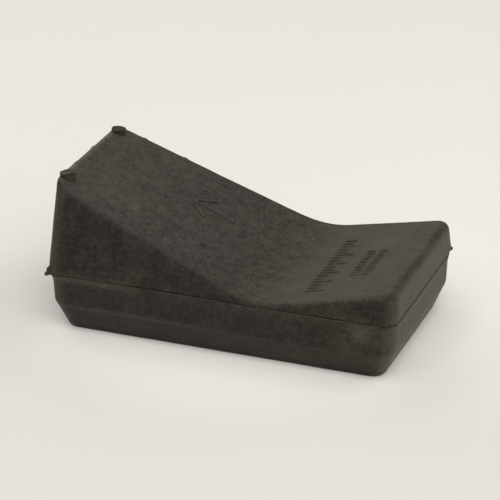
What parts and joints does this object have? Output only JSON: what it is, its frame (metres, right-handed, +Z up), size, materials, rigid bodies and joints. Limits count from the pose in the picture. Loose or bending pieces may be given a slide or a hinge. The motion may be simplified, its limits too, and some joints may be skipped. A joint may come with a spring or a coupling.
{
  "type": "rubber door wedge",
  "caption": "Moulded black rubber door wedge with a high ridge, a long ramp with a raised arrow, a hollow valley and a low ledge, on a chamfered block with a flat base.",
  "frame": {"origin": "middle of the flat base", "axes": "+X along the block from the high ridge to the low ledge, +Y across it, +Z up from the base"},
  "size_m": [0.1526, 0.0876, 0.0659],
  "materials": {
    "body_rubber": "matt moulded black rubber with a dusty bloom",
    "flash_rubber": "torn and cut brownish black rubber",
    "raised_mark_rubber": "matt moulded black rubber, worn lighter on top"
  },
  "bodies": {
    "root": {"upper_half": "body_rubber", "lower_half": "body_rubber", "seam_flash": "flash_rubber", "ridge_stub_near": "flash_rubber", "ridge_stub_far": "flash_rubber", "seam_tab_high_end": "flash_rubber", "seam_nub_low_end": "flash_rubber", "direction_arrow": "raised_mark_rubber", "scale_tick_01": "raised_mark_rubber", "scale_tick_02": "raised_mark_rubber", "scale_tick_03": "raised_mark_rubber", "scale_tick_04": "raised_mark_rubber", "scale_tick_05": "raised_mark_rubber", "scale_tick_06": "raised_mark_rubber", "scale_tick_07": "raised_mark_rubber", "scale_tick_08": "raised_mark_rubber", "scale_tick_09": "raised_mark_rubber", "scale_tick_10": "raised_mark_rubber", "scale_tick_11": "raised_mark_rubber", "scale_tick_12": "raised_mark_rubber", "scale_tick_13": "raised_mark_rubber", "scale_tick_14": "raised_mark_rubber", "scale_tick_15": "raised_mark_rubber", "scale_tick_16": "raised_mark_rubber", "scale_tick_17": "raised_mark_rubber", "scale_tick_18": "raised_mark_rubber", "scale_dash_a01": "raised_mark_rubber", "scale_dash_a02": "raised_mark_rubber", "scale_dash_a03": "raised_mark_rubber", "scale_dash_a04": "raised_mark_rubber", "scale_dash_a05": "raised_mark_rubber", "scale_dash_a06": "raised_mark_rubber", "scale_dash_a07": "raised_mark_rubber", "scale_dash_a08": "raised_mark_rubber", "scale_dash_a09": "raised_mark_rubber", "scale_dash_a10": "raised_mark_rubber", "scale_dash_b01": "raised_mark_rubber", "scale_dash_b02": "raised_mark_rubber", "scale_dash_b03": "raised_mark_rubber", "scale_dash_b04": "raised_mark_rubber", "scale_dash_b05": "raised_mark_rubber", "scale_dash_b06": "raised_mark_rubber", "scale_dash_b07": "raised_mark_rubber", "scale_dash_b08": "raised_mark_rubber", "scale_dash_b09": "raised_mark_rubber", "scale_dash_b10": "raised_mark_rubber"}
  },
  "joints": []
}
